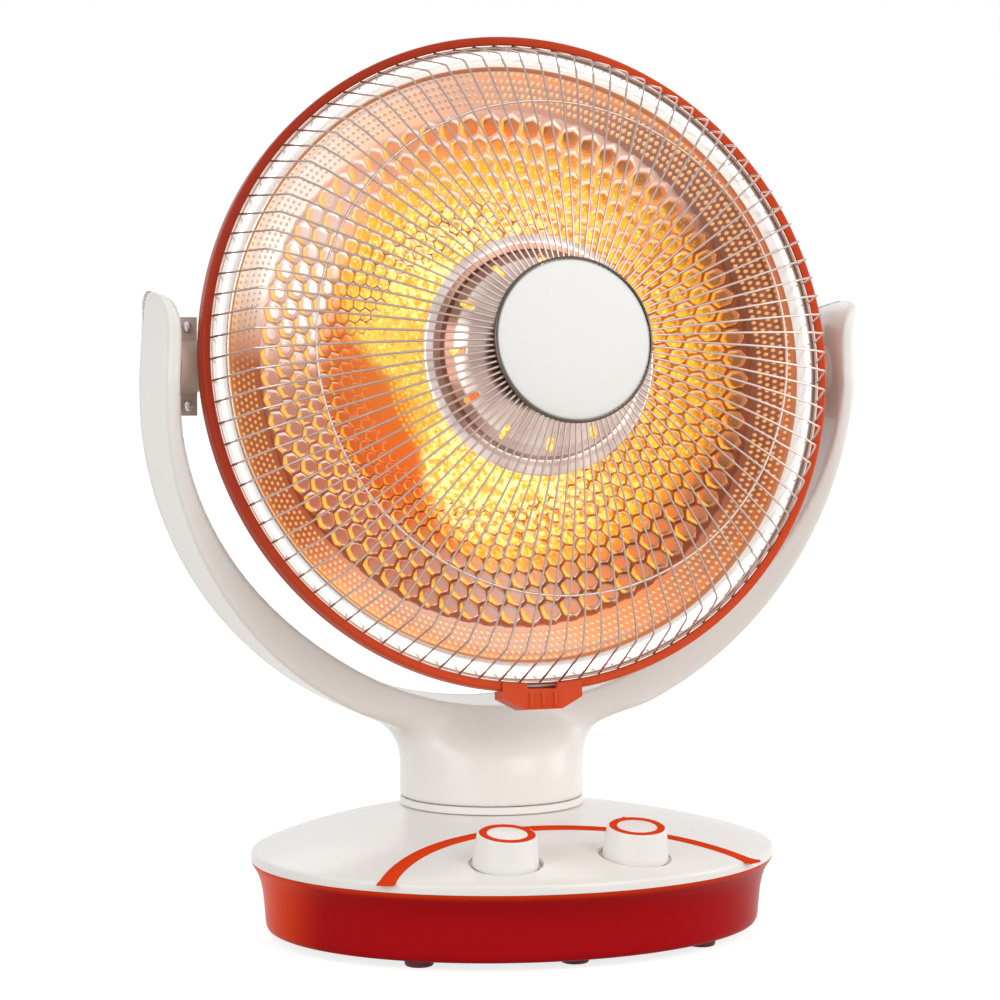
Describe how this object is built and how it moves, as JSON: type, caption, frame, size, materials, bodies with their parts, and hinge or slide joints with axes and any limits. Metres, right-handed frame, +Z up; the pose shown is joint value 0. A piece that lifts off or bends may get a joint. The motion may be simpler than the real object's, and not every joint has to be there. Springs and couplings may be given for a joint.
{
  "type": "dish heater",
  "caption": "Dish heater with an embossed reflector behind a wire grille, tilting in a U yoke on an oscillating column and oval base with a heat knob and a timer knob.",
  "frame": {"origin": "middle of the oval base, on the floor under the feet", "axes": "+Z up, +X to the heater's left as it faces -Y; the heater faces -Y; the column stands 43 mm behind the origin"},
  "size_m": [0.4526, 0.284, 0.5474],
  "materials": {
    "white_plastic": "gloss",
    "red_plastic": "gloss",
    "orange_plastic": "satin",
    "orange_paint": "gloss",
    "bracket_plastic": "matte",
    "black_plastic": "matte",
    "rubber": "matte",
    "steel": "satin",
    "wire_chrome": "polished",
    "dish_aluminium": "polished",
    "shield_chrome": "polished",
    "ceramic": "matte",
    "cast_iron": "rough",
    "heating_wire": "satin"
  },
  "bodies": {
    "base": {"base_skirt": "red_plastic", "cord_inlet_grommet": "black_plastic", "base_top_plate": "white_plastic", "panel_stripe": "orange_plastic", "bottom_cover": "black_plastic", "foot_1": "rubber", "foot_2": "rubber", "foot_3": "rubber", "foot_4": "rubber", "foot_5": "rubber", "foot_6": "rubber", "ballast_plate": "cast_iron", "tip_switch": "black_plastic", "base_terminal_block": "ceramic", "swing_motor": "steel", "spindle_bush": "black_plastic", "heat_switch": "black_plastic", "timer_movement": "steel"},
    "column": {"swing_lever": "steel", "column_spindle": "steel", "turntable_ring": "white_plastic", "yoke_frame": "white_plastic", "yoke_rear_cover": "white_plastic", "bearing_block_left": "bracket_plastic", "bearing_cap_left": "bracket_plastic", "bearing_block_right": "bracket_plastic", "bearing_cap_right": "bracket_plastic", "clamp_screw_left_upper": "steel", "clamp_screw_left_lower": "steel", "clamp_screw_right_upper": "steel", "clamp_screw_right_lower": "steel"},
    "head": {"hoop": "orange_paint", "hoop_clip": "orange_plastic", "clip_screw": "steel", "rear_shell": "white_plastic", "reflector": "dish_aluminium", "element_base": "ceramic", "ceramic_core": "ceramic", "core_stud": "steel", "stud_nut": "steel", "stud_spacer": "steel", "heating_coil": "heating_wire", "thermal_cutout": "steel", "head_terminal_block": "ceramic", "front_shield": "shield_chrome", "wire_grille": "wire_chrome", "grille_cap": "white_plastic", "cap_ring": "shield_chrome", "cap_retainer": "black_plastic"},
    "heat_knob": {"heat_knob": "white_plastic", "heat_knob_ring": "orange_plastic", "heat_shaft": "steel"},
    "timer_knob": {"timer_knob": "white_plastic", "timer_knob_ring": "orange_plastic", "timer_shaft": "steel"},
    "tip_plunger": {"tip_plunger": "steel"},
    "crank": {"crank_disc": "black_plastic"},
    "drive_link": {"drive_link": "steel"}
  },
  "joints": [
    {"name": "column_swing", "type": "hinge", "parent": "base", "child": "column", "pos_m": [0, 0.043, 0.075], "axis": [0, 0, 1], "range_deg": [-35, 35]},
    {"name": "head_tilt", "type": "hinge", "parent": "column", "child": "head", "pos_m": [0, 0.008, 0.345], "axis": [-1, 0, 0], "range_deg": [-7.5, 17.5]},
    {"name": "heat_knob_turn", "type": "hinge", "parent": "base", "child": "heat_knob", "pos_m": [-0.0401, -0.1016, 0.05912], "axis": [0, -0.1627, 0.9867], "range_deg": [-60, 70]},
    {"name": "timer_knob_turn", "type": "hinge", "parent": "base", "child": "timer_knob", "pos_m": [0.0401, -0.1016, 0.05912], "axis": [0, -0.1627, 0.9867], "range_deg": [-300, 0]},
    {"name": "tip_plunger_slide", "type": "slide", "parent": "base", "child": "tip_plunger", "axis": [0, 0, 1], "range_m": [-0.004, 0], "stiffness_N_per_m": 40, "springref_m": -0.006},
    {"name": "crank_turn", "type": "hinge", "parent": "base", "child": "crank", "pos_m": [0.036, -0.014, 0.026], "axis": [0, 0, 1], "continuous": true},
    {"name": "drive_link_swing", "type": "hinge", "parent": "column", "child": "drive_link", "pos_m": [0.036, 0.043, 0.0315], "axis": [0, 0, 1], "range_deg": [-35, 35]}
  ],
  "couplings": [
    {"joint": "drive_link_swing", "follows": "column_swing", "ratio": -1}
  ]
}
